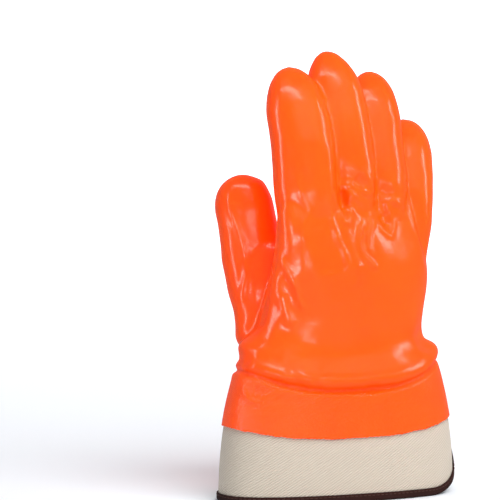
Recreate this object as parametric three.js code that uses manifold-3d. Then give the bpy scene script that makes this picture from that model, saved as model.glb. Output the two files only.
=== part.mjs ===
// A PVC coated work glove for the right hand, standing on its stiff safety cuff, fingers up.
// Millimetres, +Z up. The back of the hand faces -Y, the thumb is on the -X side, and the
// cuff's slit is on the little finger side, +X. The origin is the middle of the footprint.
import * as THREE from 'three';
import * as BufferGeometryUtils from 'three/addons/utils/BufferGeometryUtils.js';
import Module from 'manifold-3d';

const wasm = await Module();
wasm.setup();

// The whole glove, from the cuff's rim to the tip of the middle finger.
const GLOVE_LENGTH = 272;

// The canvas cuff: an oval band that flares from the wrist seam down to the rim.
const RIM_WIDTH = 151;
const RIM_DEPTH = 62;
const CUFF_TOP_WIDTH = 127;
const CUFF_TOP_DEPTH = 56;
const FLARE_POWER = 2.2;
const OVAL_POWER = 2.5;
const CANVAS_THICKNESS = 1.2;
const SEAM_HEIGHT = 80;
const SEAM_DROP = 12;
const SEAM_CLIMB = 4;
const CORNER_RADIUS = 42;
const SLIT_GAP = 1.4;
const SLIT_TOP = 62;
const SLIT_OFFSET = 5;

// The binding tape, folded over the canvas edge.
const TAPE_WIDTH = 5;
const TAPE_THICKNESS = 0.8;
const TAPE_CHAMFER = 0.5;

// The coat: its wall on the hand, its skirt on the cuff, the dip line, and the roll at the wrist.
const COAT_WALL = 2.4;
const SKIRT_WALL = 1.1;
const DIP_HEIGHT = 46;
const DIP_DROP = 7;
const ROLL_BULGE = 2.6;
const ROLL_HEIGHT = 11;
const ROLL_SHOULDER = 2;
const SEAM_GROOVE = 2.4;
const GROOVE_HEIGHT = 3;
const CLEARANCE = 0.3;

// The hand: its size across the knuckles and through the heel, its turn over the cuff, and
// the height of the webs between the fingers.
const HAND_WIDTH = 109;
const HAND_DEPTH = 52;
const HAND_TWIST = 12;
const WEB_HEIGHT = 181;
const WRIST_DROP = 6;
const WRIST_DROP_END = 0.5;
const DIGIT_OVAL_POWER = 2.25;
const DIGIT_ROOT_SIZE = 0.85;

// Heights of the other fingertips and of the thumb's.
const INDEX_TIP = 262;
const RING_TIP = 259;
const LITTLE_TIP = 228;
const THUMB_TIP = 196;

// Widths and thicknesses of the digits over the coat.
const INDEX_WIDTH = 38.5;
const MIDDLE_WIDTH = 36;
const RING_WIDTH = 33;
const LITTLE_WIDTH = 30.5;
const THUMB_WIDTH = 36.5;
const INDEX_DEPTH = 27;
const MIDDLE_DEPTH = 26.5;
const RING_DEPTH = 25.5;
const LITTLE_DEPTH = 23.5;
const THUMB_DEPTH = 29;

// The heel of the thumb, the full part of the palm that the thumb grows from.
const HEEL_TOP = 158;
const HEEL_WIDTH = 46;
const HEEL_DEPTH = 29;
const HEEL_ROUND_LENGTH = 30;

// How long the rounded end of each digit is.
const INDEX_TIP_LENGTH = 37;
const MIDDLE_TIP_LENGTH = 40;
const RING_TIP_LENGTH = 34;
const LITTLE_TIP_LENGTH = 25;
const THUMB_TIP_LENGTH = 20;

// How far below the rim the space inside the cuff is cut.
const CUFF_SPACE_DEPTH = 20;

// Mesh fineness: points round each form, and rings along it.
const CUFF_STATIONS = 28;
const CORNER_STATIONS = 11;
const STRAIGHT_STATIONS = 3;
const DIGIT_COLUMNS = 20;
const DIGIT_HOLLOW_COLUMNS = 14;
const DIGIT_ROWS = 12;
const DIGIT_HOLLOW_ROWS = 8;
const TIP_STEP = 0.6;

const MERGE_DISTANCE = 1e-4;
const RADIANS = Math.PI / 180;
const lerp = THREE.MathUtils.lerp;
const clamp = THREE.MathUtils.clamp;

// A point of an oval with half sizes a and b at the angle turn.
function ovalPoint(a, b, turn, power) {
  const c = Math.cos(turn);
  const s = Math.sin(turn);
  const x = a * Math.sign(c) * Math.abs(c) ** (2 / power);
  const y = b * Math.sign(s) * Math.abs(s) ** (2 / power);
  return new THREE.Vector2(x, y);
}

// The level direction that points straight out of such an oval.
function ovalNormal(a, b, turn, power) {
  const p = ovalPoint(a, b, turn, power);
  const x = Math.sign(p.x) * Math.abs(p.x / a) ** (power - 1) / a;
  const y = Math.sign(p.y) * Math.abs(p.y / b) ** (power - 1) / b;
  return new THREE.Vector2(x, y).normalize();
}

// A line round the cuff that hangs lower in the middle of the front and of the back, and
// climbs a little towards the little finger's side, both in step with its drop.
function hangingHeight(side, drop, turn) {
  const climb = drop / SEAM_DROP * SEAM_CLIMB * Math.max(Math.cos(turn), 0) ** 2;
  return side - drop * Math.sin(turn) ** 2 + climb;
}

// The main dents and creases. Each runs from one point to another on the back (side -1) or the
// palm (side 1). across and up are shares of the hand's width and of the height of the webs,
// push is how far the coat moves out there, and reach is how wide the dent is.
const FOLDS = [
  { side: -1, from: [-0.08, 1.055], to: [0.12, 1.03], push: -1.5, reach: 6 },
  { side: -1, from: [-0.165, 0.955], to: [-0.07, 0.84], push: -1.5, reach: 7 },
  { side: -1, from: [-0.07, 0.84], to: [-0.055, 0.75], push: -1.1, reach: 7 },
  { side: -1, from: [0.075, 0.96], to: [0.04, 0.87], push: -1.5, reach: 6 },
  { side: -1, from: [0.04, 0.87], to: [0.12, 0.78], push: -1.2, reach: 6 },
  { side: -1, from: [0.2, 0.97], to: [0.25, 0.9], push: -1.6, reach: 7 },
  { side: -1, from: [-0.41, 0.79], to: [-0.26, 0.63], push: -1.4, reach: 7 },
  { side: -1, from: [-0.42, 0.69], to: [-0.34, 0.57], push: -1.2, reach: 6 },
  { side: -1, from: [0.46, 0.55], to: [0.52, 0.5], push: -1.5, reach: 5 },
  { side: -1, from: [-0.55, 0.35], to: [-0.42, 0.35], push: -1.8, reach: 9 },
  { side: 1, from: [-0.3, 0.93], to: [-0.02, 0.82], push: -1.6, reach: 7 },
  { side: 1, from: [0.0, 0.92], to: [0.4, 0.84], push: -1.6, reach: 7 },
  { side: 1, from: [-0.05, 0.82], to: [0.02, 0.58], push: -1.8, reach: 8 },
];

// How far the coat moves out at a point of the surface, seen square to the hand. A fold fades
// where the surface turns away from its side.
const FOLD_FACING = 1.6;

function foldPush(point, outward) {
  const spot = new THREE.Vector2(point.x, point.z);
  let push = 0;
  for (const fold of FOLDS) {
    const facing = clamp(fold.side * outward.y * FOLD_FACING, 0, 1);
    const from = new THREE.Vector2(fold.from[0] * HAND_WIDTH, fold.from[1] * WEB_HEIGHT);
    const to = new THREE.Vector2(fold.to[0] * HAND_WIDTH, fold.to[1] * WEB_HEIGHT);
    const line = to.clone().sub(from);
    const share = clamp(spot.clone().sub(from).dot(line) / line.lengthSq(), 0, 1);
    const distance = spot.distanceTo(from.addScaledVector(line, share));
    push += facing * fold.push * Math.exp(-((distance / fold.reach) ** 2));
  }
  return push;
}

// The half sizes of the cuff's oval at a height. It flares slowly at the rim, faster above.
function cuffHalfSizes(z) {
  const share = clamp(z / SEAM_HEIGHT, 0, 1) ** FLARE_POWER;
  return {
    a: lerp(RIM_WIDTH, CUFF_TOP_WIDTH, share) / 2,
    b: lerp(RIM_DEPTH, CUFF_TOP_DEPTH, share) / 2,
  };
}

// A point on the cuff at an angle, a height and a distance out from the canvas's middle layer.
function cuffPoint(turn, z, out) {
  const { a, b } = cuffHalfSizes(z);
  const outward = ovalNormal(a, b, turn, OVAL_POWER);
  const p = ovalPoint(a, b, turn, OVAL_POWER);
  const push = foldPush(new THREE.Vector3(p.x, p.y, z), outward);
  p.addScaledVector(outward, out + push);
  return new THREE.Vector3(p.x, p.y, z);
}

// Lengths along the rim, so that places on the cuff can be given in millimetres from the slit.
function rimLengths() {
  const steps = 1440;
  const lengths = [0];
  let last = cuffPoint(0, 0, 0);
  for (let i = 1; i <= steps; i += 1) {
    const next = cuffPoint((i / steps) * 2 * Math.PI, 0, 0);
    lengths.push(lengths[i - 1] + next.distanceTo(last));
    last = next;
  }
  return lengths;
}

const RIM_LENGTHS = rimLengths();
const RIM_LENGTH = RIM_LENGTHS[RIM_LENGTHS.length - 1];

// The angle round the cuff at a length along the rim from the middle of the slit.
function turnAtLength(length) {
  const wanted = THREE.MathUtils.euclideanModulo(length + SLIT_OFFSET, RIM_LENGTH);
  const index = RIM_LENGTHS.findIndex((value) => value >= wanted);
  const high = Math.max(index, 1);
  const span = RIM_LENGTHS[high] - RIM_LENGTHS[high - 1];
  const share = (wanted - RIM_LENGTHS[high - 1]) / span;
  return ((high - 1 + share) / (RIM_LENGTHS.length - 1)) * 2 * Math.PI;
}

// The cuff's edge, set in from its outermost line, from one side of the slit round to the other.
// Each place has its length from the slit, its height, and the way into the canvas.
function cuffEdge(inset, straightTop) {
  const places = [];
  const half = SLIT_GAP / 2;
  const inner = CORNER_RADIUS - inset;
  for (let i = 0; i < STRAIGHT_STATIONS; i += 1) {
    const z = lerp(straightTop, CORNER_RADIUS, i / STRAIGHT_STATIONS);
    places.push({ length: half + inset, z, alongIn: 1, upIn: 0 });
  }
  for (let i = 0; i <= CORNER_STATIONS; i += 1) {
    const bend = (i / CORNER_STATIONS) * Math.PI / 2;
    places.push({
      length: half + CORNER_RADIUS - inner * Math.cos(bend),
      z: CORNER_RADIUS - inner * Math.sin(bend),
      alongIn: Math.cos(bend),
      upIn: Math.sin(bend),
    });
  }
  const straight = RIM_LENGTH - SLIT_GAP - 2 * CORNER_RADIUS;
  for (let i = 1; i < CUFF_STATIONS; i += 1) {
    const length = half + CORNER_RADIUS + straight * (i / CUFF_STATIONS);
    places.push({ length, z: inset, alongIn: 0, upIn: 1 });
  }
  const mirrored = places.slice(0, STRAIGHT_STATIONS + CORNER_STATIONS + 1).reverse();
  for (const place of mirrored) {
    places.push({ ...place, length: RIM_LENGTH - place.length, alongIn: -place.alongIn });
  }
  return places;
}

// The canvas's own edge, under the fold of the tape, and the angles of its columns. The coat
// over it has the same columns, so that the two walls stay parallel.
const CANVAS_EDGE = cuffEdge(TAPE_THICKNESS + CLEARANCE, CORNER_RADIUS).slice(
  STRAIGHT_STATIONS,
  -STRAIGHT_STATIONS,
);
const TURNS = CANVAS_EDGE.map((place) => turnAtLength(place.length));

// Heights shared by the canvas and the coat over it: shares of the way from the dip line to
// the canvas's top, just below the seam.
const SKIRT_SHARES = [0, 0.35, 0.7, 1];

function skirtHeight(share, turn) {
  const side = lerp(DIP_HEIGHT, SEAM_HEIGHT - GROOVE_HEIGHT, share);
  return hangingHeight(side, lerp(DIP_DROP, SEAM_DROP, share), turn);
}

// Puts triangles and their corner points in a geometry.
function geometryOf(points, triangles) {
  const geometry = new THREE.BufferGeometry();
  const flat = points.flatMap((p) => [p.x, p.y, p.z]);
  geometry.setAttribute('position', new THREE.Float32BufferAttribute(flat, 3));
  geometry.setIndex(triangles.flat());
  return geometry;
}

function quad(triangles, a, b, c, d) {
  triangles.push([a, b, c], [a, c, d]);
}

// A closed solid through rings of points, with a fan over each end. Each ring goes
// anticlockwise as seen from the end that the rings climb to.
function loftSolid(rings) {
  const count = rings[0].length;
  const points = rings.flat();
  const triangles = [];
  for (let r = 0; r + 1 < rings.length; r += 1) {
    for (let i = 0; i < count; i += 1) {
      const j = (i + 1) % count;
      const low = r * count;
      const high = low + count;
      quad(triangles, low + i, low + j, high + j, high + i);
    }
  }
  const ends = [[rings[0], 0, true], [rings[rings.length - 1], points.length - count, false]];
  for (const [ring, first, flipped] of ends) {
    const middle = ring.reduce((sum, p) => sum.add(p), new THREE.Vector3()).divideScalar(count);
    const centre = points.push(middle) - 1;
    for (let i = 0; i < count; i += 1) {
      const j = (i + 1) % count;
      const fan = flipped ? [centre, first + j, first + i] : [centre, first + i, first + j];
      triangles.push(fan);
    }
  }
  return geometryOf(points, triangles);
}

// A closed solid swept through copies of one outline, with flat ends.
function sweepSolid(rings, outline) {
  const count = outline.length;
  const triangles = [];
  for (let r = 0; r + 1 < rings.length; r += 1) {
    for (let i = 0; i < count; i += 1) {
      const j = (i + 1) % count;
      quad(triangles, r * count + i, r * count + j, (r + 1) * count + j, (r + 1) * count + i);
    }
  }
  const last = (rings.length - 1) * count;
  for (const [a, b, c] of THREE.ShapeUtils.triangulateShape(outline, [])) {
    triangles.push([a, c, b], [last + a, last + b, last + c]);
  }
  return geometryOf(rings.flat(), triangles);
}

// A wall between an outer and an inner grid of points, closed along all four sides.
function wallSolid(outer, inner) {
  const columns = outer.length;
  const rows = outer[0].length;
  const points = [...outer.flat(), ...inner.flat()];
  const triangles = [];
  const at = (side, c, r) => side * columns * rows + c * rows + r;
  for (let c = 0; c + 1 < columns; c += 1) {
    for (let r = 0; r + 1 < rows; r += 1) {
      quad(triangles, at(0, c, r), at(0, c + 1, r), at(0, c + 1, r + 1), at(0, c, r + 1));
      quad(triangles, at(1, c, r), at(1, c, r + 1), at(1, c + 1, r + 1), at(1, c + 1, r));
    }
    quad(triangles, at(0, c, 0), at(1, c, 0), at(1, c + 1, 0), at(0, c + 1, 0));
    const top = rows - 1;
    quad(triangles, at(0, c, top), at(0, c + 1, top), at(1, c + 1, top), at(1, c, top));
  }
  const end = columns - 1;
  for (let r = 0; r + 1 < rows; r += 1) {
    quad(triangles, at(0, 0, r), at(0, 0, r + 1), at(1, 0, r + 1), at(1, 0, r));
    quad(triangles, at(0, end, r), at(1, end, r), at(1, end, r + 1), at(0, end, r + 1));
  }
  return geometryOf(points, triangles);
}

// The canvas band: bare below the dip line, under the coat above it.
function canvasGeometry() {
  const layers = [CANVAS_THICKNESS / 2, -CANVAS_THICKNESS / 2];
  const grids = layers.map((out) => CANVAS_EDGE.map((place, column) => {
    const turn = TURNS[column];
    const upper = SKIRT_SHARES.map((share) => skirtHeight(share, turn));
    upper[upper.length - 1] -= CLEARANCE;
    const heights = [place.z, (place.z + upper[0]) / 2, ...upper];
    return heights.map((z) => cuffPoint(turn, z, out));
  }));
  return wallSolid(grids[0], grids[1]);
}

// The tape's outline: how far it reaches into the cuff, and how far out from its middle layer.
function tapeOutline() {
  const face = CANVAS_THICKNESS / 2 + CLEARANCE;
  const skin = face + TAPE_THICKNESS;
  const half = [
    [TAPE_THICKNESS, face],
    [TAPE_WIDTH, face],
    [TAPE_WIDTH, skin],
    [TAPE_CHAMFER, skin],
    [0, skin - TAPE_CHAMFER],
  ];
  const mirrored = [...half].reverse().map(([into, out]) => [into, -out]);
  return [...half, ...mirrored].map(([into, out]) => new THREE.Vector2(into, out));
}

function bindingGeometry() {
  const outline = tapeOutline();
  const rings = cuffEdge(0, SLIT_TOP).map((place) => outline.map(({ x: into, y: out }) => {
    const turn = turnAtLength(place.length + place.alongIn * into);
    return cuffPoint(turn, place.z + place.upIn * into, out);
  }));
  return sweepSolid(rings, outline);
}

// The hand's sections, from the wrist up to the webs. Heights are shares of the way from the
// seam to the webs. Widths and depths are shares of the hand's, middles are shares of its
// width (across) and depth (through, towards the palm), and the turn is a share of the twist.
const HAND_SECTIONS = [
  { up: 0.13, width: 1.09, depth: 1.04, across: -0.017, through: 0.02, turn: 0.12 },
  { up: 0.19, width: 1.02, depth: 1.03, across: 0.01, through: 0.035, turn: 0.25 },
  { up: 0.26, width: 0.99, depth: 1.04, across: 0.028, through: 0.04, turn: 0.4 },
  { up: 0.34, width: 0.99, depth: 1.03, across: 0.042, through: 0.03, turn: 0.53 },
  { up: 0.42, width: 1.0, depth: 1.0, across: 0.055, through: 0.015, turn: 0.66 },
  { up: 0.5, width: 1.0, depth: 0.96, across: 0.063, through: -0.01, turn: 0.76 },
  { up: 0.58, width: 0.99, depth: 0.91, across: 0.068, through: -0.035, turn: 0.85 },
  { up: 0.66, width: 0.97, depth: 0.85, across: 0.064, through: -0.05, turn: 0.92 },
  { up: 0.74, width: 0.945, depth: 0.78, across: 0.055, through: -0.065, turn: 0.96 },
  { up: 0.81, width: 0.925, depth: 0.71, across: 0.045, through: -0.08, turn: 1 },
  { up: 0.87, width: 0.905, depth: 0.63, across: 0.035, through: -0.095, turn: 1 },
  { up: 0.92, width: 0.885, depth: 0.54, across: 0.025, through: -0.105, turn: 1 },
  { up: 0.965, width: 0.86, depth: 0.42, across: 0.015, through: -0.11, turn: 1 },
  { up: 1.0, width: 0.82, depth: 0.26, across: 0.01, through: -0.115, turn: 1 },
];

// A ring round the cuff: height gives the height at each angle, out how far it lies from the
// canvas's middle layer, and puff how much further in the middle of the front and the back.
function cuffRing(height, out, puff = 0) {
  return TURNS.map((turn) => cuffPoint(turn, height(turn), out + puff * Math.sin(turn) ** 2));
}

// The coat's rings over the cuff: the skirt, the groove at the seam and the puffy roll.
function skirtRings() {
  const skin = CANVAS_THICKNESS / 2 + CLEARANCE + SKIRT_WALL;
  const skirt = SKIRT_SHARES.map((share) => cuffRing((turn) => skirtHeight(share, turn), skin));
  const rollRing = (share, sag, out, puff) => cuffRing(
    (turn) => hangingHeight(SEAM_HEIGHT + share * ROLL_HEIGHT, sag * SEAM_DROP, turn),
    out,
    puff * ROLL_BULGE,
  );
  return [
    ...skirt,
    rollRing(0, 1, skin - SEAM_GROOVE / 2, 0),
    rollRing(0.25, 0.97, skin, 0.7),
    rollRing(0.5, 0.9, skin, 1),
    rollRing(0.8, 0.8, skin - ROLL_SHOULDER, 0.8),
  ];
}

// A ring round the hand at one row of the table, set in by a wall.
function handRing(row, wall) {
  const ring = [];
  const a = row.width * HAND_WIDTH / 2 - wall;
  const b = Math.max(row.depth * HAND_DEPTH / 2 - wall, 1);
  const twist = row.turn * HAND_TWIST * RADIANS;
  const origin = new THREE.Vector2();
  const middle = new THREE.Vector2(row.across * HAND_WIDTH, row.through * HAND_DEPTH);
  const drop = WRIST_DROP * Math.max(0, 1 - row.up / WRIST_DROP_END);
  for (const turn of TURNS) {
    const outward = ovalNormal(a, b, turn, OVAL_POWER).rotateAround(origin, twist);
    const flat = ovalPoint(a, b, turn, OVAL_POWER).rotateAround(origin, twist).add(middle);
    const height = hangingHeight(lerp(SEAM_HEIGHT, WEB_HEIGHT, row.up), drop, turn);
    const point = new THREE.Vector3(flat.x, flat.y, height);
    const push = foldPush(point, outward);
    ring.push(point.add(new THREE.Vector3(outward.x * push, outward.y * push, 0)));
  }
  return ring;
}

// The index, middle, ring and little finger, the heel of the thumb, and the thumb. Their middles
// are given across and through the hand, as shares of its width and depth, and up as shares of
// the height of the tip. The yaw, in degrees, turns the flat back of the digit. Neighbours that
// press on each other are marked.
const DIGITS = [
  { presses: true, tip: INDEX_TIP, width: INDEX_WIDTH, depth: INDEX_DEPTH, yaw: -16,
    cap: INDEX_TIP_LENGTH,
    spine: [
      { across: -0.195, through: -0.15, up: 0.56 },
      { across: -0.228, through: -0.205, up: 0.69 },
      { across: -0.243, through: -0.08, up: 0.855 },
      { across: -0.265, through: 0.215, up: 1 },
    ] },
  { presses: true, tip: GLOVE_LENGTH, width: MIDDLE_WIDTH, depth: MIDDLE_DEPTH, yaw: -15,
    cap: MIDDLE_TIP_LENGTH,
    spine: [
      { across: 0.04, through: -0.1, up: 0.54 },
      { across: 0.04, through: -0.1, up: 0.665 },
      { across: 0.025, through: 0.045, up: 0.84 },
      { across: -0.012, through: 0.32, up: 1 },
    ] },
  { presses: true, tip: RING_TIP, width: RING_WIDTH, depth: RING_DEPTH, yaw: -13,
    cap: RING_TIP_LENGTH,
    spine: [
      { across: 0.22, through: -0.04, up: 0.56 },
      { across: 0.263, through: 0.01, up: 0.7 },
      { across: 0.275, through: 0.18, up: 0.86 },
      { across: 0.288, through: 0.49, up: 1 },
    ] },
  { presses: true, tip: LITTLE_TIP, width: LITTLE_WIDTH, depth: LITTLE_DEPTH, yaw: -10,
    cap: LITTLE_TIP_LENGTH,
    spine: [
      { across: 0.395, through: 0.03, up: 0.56 },
      { across: 0.46, through: 0.09, up: 0.75 },
      { across: 0.5, through: 0.28, up: 0.885 },
      { across: 0.545, through: 0.6, up: 1 },
    ] },
  { presses: false, tip: HEEL_TOP, width: HEEL_WIDTH, depth: HEEL_DEPTH, yaw: -28,
    cap: HEEL_ROUND_LENGTH,
    spine: [
      { across: -0.24, through: 0.12, up: 0.56 },
      { across: -0.27, through: 0.26, up: 0.7 },
      { across: -0.3, through: 0.37, up: 0.85 },
      { across: -0.32, through: 0.44, up: 1 },
    ] },
  { presses: false, tip: THUMB_TIP, width: THUMB_WIDTH, depth: THUMB_DEPTH, yaw: -24,
    cap: THUMB_TIP_LENGTH,
    spine: [
      { across: -0.35, through: 0.18, up: 0.445 },
      { across: -0.365, through: 0.36, up: 0.53 },
      { across: -0.368, through: 0.5, up: 0.62 },
      { across: -0.392, through: 0.6, up: 0.71 },
      { across: -0.41, through: 0.65, up: 0.82 },
      { across: -0.435, through: 0.675, up: 0.91 },
      { across: -0.453, through: 0.69, up: 1 },
    ] },
];

// The fingers that press on each other, from the front one to the hindmost.
const FINGERS = DIGITS.filter(({ presses }) => presses);

// Rings along a digit, from deep in the hand to the tip. The tip is half of a long oval. The
// wall sets the rings in, or out where it is negative.
function digitRings(digit, columns, rows, wall) {
  const spine = new THREE.CatmullRomCurve3(digit.spine.map(({ across, through, up }) => (
    new THREE.Vector3(across * HAND_WIDTH, through * HAND_DEPTH, up * digit.tip)
  )));
  const length = spine.getLength();
  const bodyRows = Math.round(rows / 2);
  const capRows = rows - bodyRows;
  const rings = [];
  const yaw = digit.yaw * RADIANS;
  const across = new THREE.Vector3(Math.cos(yaw), Math.sin(yaw), 0);
  const addRing = (along, size) => {
    const middle = spine.getPointAt(along / length);
    const climb = spine.getTangentAt(along / length);
    const wide = across.clone().addScaledVector(climb, -across.dot(climb)).normalize();
    const deep = climb.clone().cross(wide);
    const ring = [];
    for (let i = 0; i < columns; i += 1) {
      const turn = (i / columns) * 2 * Math.PI;
      const a = (digit.width / 2 - wall) * size;
      const b = (digit.depth / 2 - wall) * size;
      const flat = ovalPoint(a, b, turn, DIGIT_OVAL_POWER);
      const offset = wide.clone().multiplyScalar(flat.x).addScaledVector(deep, flat.y);
      const outward = offset.clone().normalize();
      const point = middle.clone().add(offset);
      ring.push(point.addScaledVector(outward, foldPush(point, outward)));
    }
    rings.push(ring);
  };
  const bodyLength = length - digit.cap;
  for (let i = 0; i < bodyRows; i += 1) {
    const share = i / bodyRows;
    addRing(bodyLength * share, lerp(DIGIT_ROOT_SIZE, 1, Math.min(2 * share, 1)));
  }
  for (let i = 0; i < capRows; i += 1) {
    const bend = (i / (capRows - TIP_STEP)) * Math.PI / 2;
    const cap = digit.cap - Math.max(wall, 0);
    addRing(bodyLength + cap * Math.sin(bend), Math.cos(bend));
  }
  return rings;
}

// A solid for joining and cutting, from a closed mesh.
function solidOf(geometry) {
  const merged = BufferGeometryUtils.mergeVertices(geometry, MERGE_DISTANCE);
  const mesh = new wasm.Mesh({
    numProp: 3,
    vertProperties: new Float32Array(merged.attributes.position.array),
    triVerts: new Uint32Array(merged.index.array),
  });
  return new wasm.Manifold(mesh);
}

function geometryOfSolid(solid) {
  const mesh = solid.getMesh();
  const geometry = new THREE.BufferGeometry();
  geometry.setAttribute('position', new THREE.BufferAttribute(mesh.vertProperties, 3));
  geometry.setIndex(new THREE.BufferAttribute(mesh.triVerts, 1));
  return geometry;
}

// The digits, each set in by a wall. Above the webs a finger is flattened where it presses on
// the fingers in front of it, so that it stays a clearance and its wall away from them.
function digitSolids(columns, rows, wall) {
  const solids = DIGITS.map((digit) => solidOf(loftSolid(digitRings(digit, columns, rows, wall))));
  const away = CLEARANCE + wall;
  const grown = FINGERS.map((finger) => {
    const rings = digitRings(finger, DIGIT_COLUMNS, DIGIT_ROWS, -away);
    return solidOf(loftSolid(rings)).trimByPlane([0, 0, 1], WEB_HEIGHT - wall);
  });
  return solids.map((solid, i) => {
    const place = FINGERS.indexOf(DIGITS[i]);
    return grown.slice(0, Math.max(place, 0)).reduce((rest, front) => rest.subtract(front), solid);
  });
}

// The outside of the coat: the skirt and the hand in one, and the digits grown out of it.
function coatOutside() {
  const hand = HAND_SECTIONS.map((row) => handRing(row, 0));
  const palm = solidOf(loftSolid([...skirtRings(), ...hand]));
  return wasm.Manifold.union([palm, ...digitSolids(DIGIT_COLUMNS, DIGIT_ROWS, 0)]);
}

// The hollow of the hand, open downwards through the wrist.
function handHollow() {
  const mouth = [-CUFF_SPACE_DEPTH, SEAM_HEIGHT, SEAM_HEIGHT + ROLL_HEIGHT / 2].map((z) => (
    cuffRing((turn) => hangingHeight(z, SEAM_DROP, turn), -CANVAS_THICKNESS)
  ));
  const top = 1 - COAT_WALL / (WEB_HEIGHT - SEAM_HEIGHT);
  const rows = HAND_SECTIONS.filter((row) => row.up < top);
  const rings = [...mouth, ...rows.map((row) => handRing(row, COAT_WALL))];
  const digits = digitSolids(DIGIT_HOLLOW_COLUMNS, DIGIT_HOLLOW_ROWS, COAT_WALL);
  return wasm.Manifold.union([solidOf(loftSolid(rings)), ...digits]);
}

// The space that the canvas fills, with its clearance, from below the rim up to the seam.
function cuffSpace() {
  const out = CANVAS_THICKNESS / 2 + CLEARANCE;
  return loftSolid([
    cuffRing(() => -CUFF_SPACE_DEPTH, out),
    ...SKIRT_SHARES.map((share) => cuffRing((turn) => skirtHeight(share, turn), out)),
  ]);
}

// The notch in the skirt that leaves the bound edges of the slit bare.
function slitNotch() {
  const half = SLIT_GAP / 2 + TAPE_WIDTH + CLEARANCE;
  const middle = cuffPoint(turnAtLength(0), DIP_HEIGHT, 0);
  const top = SLIT_TOP + CLEARANCE;
  const notch = new THREE.BoxGeometry(RIM_DEPTH, 2 * half, top);
  notch.translate(middle.x, middle.y, top / 2);
  return BufferGeometryUtils.mergeVertices(barePositions(notch));
}

function barePositions(geometry) {
  geometry.deleteAttribute('normal');
  geometry.deleteAttribute('uv');
  return geometry;
}

function coatGeometry() {
  const space = solidOf(cuffSpace()).add(solidOf(slitNotch())).add(handHollow());
  return geometryOfSolid(coatOutside().subtract(space));
}

// A named piece with its own finish.
function piece(name, geometry, color, roughness) {
  const material = new THREE.MeshStandardMaterial({ color, roughness, metalness: 0 });
  const mesh = new THREE.Mesh(geometry, material);
  mesh.name = name;
  return mesh;
}

const glove = new THREE.Group();
glove.add(piece('pvc_coat', coatGeometry(), 0xff6420, 0.25));
glove.add(piece('cuff_canvas', canvasGeometry(), 0xdacebe, 0.9));
glove.add(piece('cuff_binding', bindingGeometry(), 0x43241f, 0.85));

// The glove is moved so that the origin is the middle of its footprint.
const bounds = new THREE.Box3().setFromObject(glove, true);
const footprint = bounds.getCenter(new THREE.Vector3());
glove.position.set(-footprint.x, -footprint.y, 0);

export default glove;
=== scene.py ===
# %% [markdown]
# # PVC coated work glove
# One right-hand glove stands on its stiff canvas cuff, fingers up. The CAD model gives every
# size. This script gives the looks: a seamless glossy orange dip, a woven cuff, a bound rim and
# its stitches. Lengths are in millimetres until a mesh is made, and Blender gets metres.

# %% Frame and tools
import math

import bmesh
import bpy
import numpy as np
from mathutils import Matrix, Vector, noise
from mathutils.bvhtree import BVHTree


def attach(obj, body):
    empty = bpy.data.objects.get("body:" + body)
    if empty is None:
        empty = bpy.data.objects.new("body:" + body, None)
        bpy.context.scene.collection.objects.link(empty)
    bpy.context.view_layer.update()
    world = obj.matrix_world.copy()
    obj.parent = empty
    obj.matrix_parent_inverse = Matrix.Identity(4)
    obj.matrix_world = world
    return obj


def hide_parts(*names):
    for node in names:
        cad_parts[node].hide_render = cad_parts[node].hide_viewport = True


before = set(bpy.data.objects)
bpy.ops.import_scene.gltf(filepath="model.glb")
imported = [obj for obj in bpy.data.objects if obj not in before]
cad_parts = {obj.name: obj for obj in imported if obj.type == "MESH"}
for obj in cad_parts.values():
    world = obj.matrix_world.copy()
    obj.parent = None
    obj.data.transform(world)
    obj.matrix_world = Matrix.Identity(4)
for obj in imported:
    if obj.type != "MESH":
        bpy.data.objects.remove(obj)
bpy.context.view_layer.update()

MM = 0.001


# %% [markdown]
# ## The cuff's form
# The cuff is an oval that flares from the wrist seam to the rim. It could be modelled as a
# bent strip, but a formula with the CAD model's own sizes keeps cloth, tape and coat together.
# Places on it are given by the length along the rim from the slit, and the height.

# %% Cuff sizes
# OVAL_POWER 2 would be an ellipse, and more is squarer. FLARE_POWER says how late it flares. The
# frame is centred on the whole glove, so the cuff has its own middle.
RIM_WIDTH, RIM_DEPTH = 151.0, 62.0
TOP_WIDTH, TOP_DEPTH = 127.0, 56.0
SEAM_HEIGHT, SEAM_DROP, SEAM_CLIMB = 80.0, 12.0, 4.0
FLARE_POWER, OVAL_POWER = 2.2, 2.5
SLIT_GAP, SLIT_TOP, SLIT_OFFSET = 1.4, 62.0, 5.0
CORNER_RADIUS = 42.0
CANVAS_THICKNESS = 1.2
CLEARANCE = 0.3
SKIRT_WALL = 1.1
TAPE_WIDTH, TAPE_THICKNESS = 5.0, 0.8
DIP_HEIGHT, DIP_DROP = 46.0, 7.0
COAT_SKIN = CANVAS_THICKNESS / 2 + CLEARANCE + SKIRT_WALL
TAPE_SKIN = CANVAS_THICKNESS / 2 + CLEARANCE + TAPE_THICKNESS
CUFF_MIDDLE = np.array([0.156, -8.752])
# A shallow dent: where it lies across and up, and how far its middle is pushed, here inward.
POCKET = {"from": -60.0, "to": -45.8, "height": 63.4, "push": -1.8, "reach": 9.0}
print("cuff, mm:", RIM_WIDTH, "x", RIM_DEPTH, "at the rim,", TOP_WIDTH, "x", TOP_DEPTH, "above")


# %% [markdown]
# ### Points on the cuff
# A point is asked for by its angle, its height and how far out it lies from the cloth's middle
# layer. Cloth, tape and coat ask the same function, so they can't cut into each other.

# %% Points on the cuff
def cuff_half_sizes(z):
    share = np.clip(z / SEAM_HEIGHT, 0, 1) ** FLARE_POWER
    return ((RIM_WIDTH + (TOP_WIDTH - RIM_WIDTH) * share) / 2,
            (RIM_DEPTH + (TOP_DEPTH - RIM_DEPTH) * share) / 2)


def facing_share(cosine, sharpness):
    """1 where a surface faces some way, fading to 0 where it turns from it."""
    return np.clip(sharpness * cosine, 0, 1)


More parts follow.
